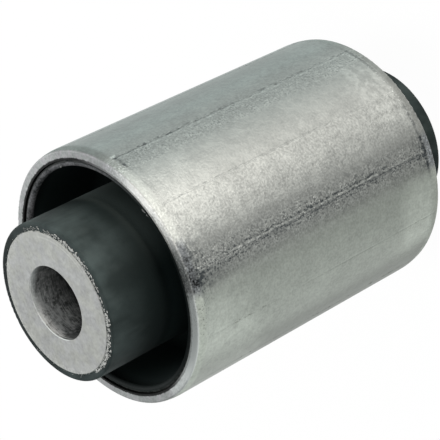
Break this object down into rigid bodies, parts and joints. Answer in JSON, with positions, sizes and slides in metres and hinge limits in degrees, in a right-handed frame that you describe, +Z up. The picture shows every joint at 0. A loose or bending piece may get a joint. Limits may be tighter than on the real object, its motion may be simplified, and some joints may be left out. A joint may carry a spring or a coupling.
{
  "type": "axle beam bushing",
  "caption": "Rubber-bonded bushing: a swaged steel sleeve round a thick bolt sleeve, joined by moulded rubber with deep ring-shaped hollows, for pressing into an axle beam's eye.",
  "frame": {"origin": "centre of the lower end face of the inner sleeve, on the surface that the bushing stands on", "axes": "+Z up along the bushing's axis; X and Y lie half-way between swaging lines"},
  "size_m": [0.042, 0.042, 0.0728],
  "materials": {
    "sleeve_steel": "satin grey zinc-plated steel, lightly scuffed, with dark swaging lines",
    "black_rubber": "matt black moulded rubber with a grey bloom",
    "sawn_aluminium": "dull light grey, finely mottled"
  },
  "bodies": {
    "root": {"outer_sleeve": "sleeve_steel", "rubber_body": "black_rubber", "inner_sleeve": "sawn_aluminium"}
  },
  "joints": []
}
